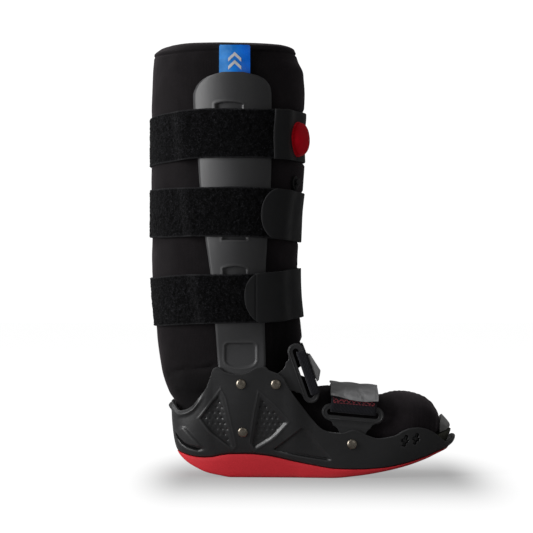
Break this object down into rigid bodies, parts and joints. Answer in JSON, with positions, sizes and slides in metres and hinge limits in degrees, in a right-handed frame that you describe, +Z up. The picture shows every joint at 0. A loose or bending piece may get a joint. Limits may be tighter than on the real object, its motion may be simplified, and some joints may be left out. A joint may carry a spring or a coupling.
{
  "type": "medical walking boot",
  "caption": "Tall walking boot: open padded liner in a moulded rocker-soled shell with side uprights, wrap straps, slotted strap brackets and an air pump bulb.",
  "frame": {"origin": "on the floor under the outer upright's middle line, midway between the two sides, on the flat ground face of the rocker sole", "axes": "+Z up along the shaft, +X toward the toe, -Y toward the outer side of a right leg, where the pump bulb is"},
  "size_m": [0.3131, 0.1428, 0.437],
  "materials": {
    "foam_fabric": "black plush laminate over foam",
    "shell_plastic": "satin charcoal injection moulding",
    "upright_plastic": "satin dark grey",
    "sole_rubber": "matt red",
    "footbed_foam": "dark olive foam",
    "guard_foam": "grey brushed foam",
    "rivet_nickel": "nickel plate",
    "strap_loop": "brushed loop pile",
    "tab_fabric": "smooth laminated tab",
    "webbing": "woven webbing",
    "flap_fabric": "grey coated fabric",
    "bulb_rubber": "deep red, satin",
    "valve_plastic": "black",
    "pull_plastic": "glossy blue film"
  },
  "bodies": {
    "root": {"liner": "foam_fabric", "shell": "shell_plastic", "outsole": "sole_rubber", "footbed": "footbed_foam", "toe_guard": "guard_foam", "upright_lateral": "upright_plastic", "upright_medial": "upright_plastic", "rivet_upright_top_lateral": "rivet_nickel", "rivet_upright_top_medial": "rivet_nickel", "rivet_ankle_bracket_lateral": "rivet_nickel", "rivet_ankle_bracket_medial": "rivet_nickel", "rivet_upright_low_lateral": "rivet_nickel", "rivet_upright_low_medial": "rivet_nickel", "rivet_forefoot_bracket_lateral": "rivet_nickel", "rivet_forefoot_bracket_medial": "rivet_nickel", "ankle_bracket_lateral": "shell_plastic", "ankle_bracket_medial": "shell_plastic", "forefoot_bracket_lateral": "shell_plastic", "forefoot_bracket_medial": "shell_plastic", "shaft_strap_top": "strap_loop", "shaft_strap_middle": "strap_loop", "shaft_strap_low": "strap_loop", "bulb_panel": "tab_fabric", "strap_tab_middle": "tab_fabric", "strap_tab_low": "tab_fabric", "ankle_strap": "webbing", "forefoot_strap": "webbing", "ankle_strap_tab": "flap_fabric", "forefoot_flap": "flap_fabric", "pump_bulb": "bulb_rubber", "release_valve": "valve_plastic", "pull_tab": "pull_plastic"}
  },
  "joints": []
}
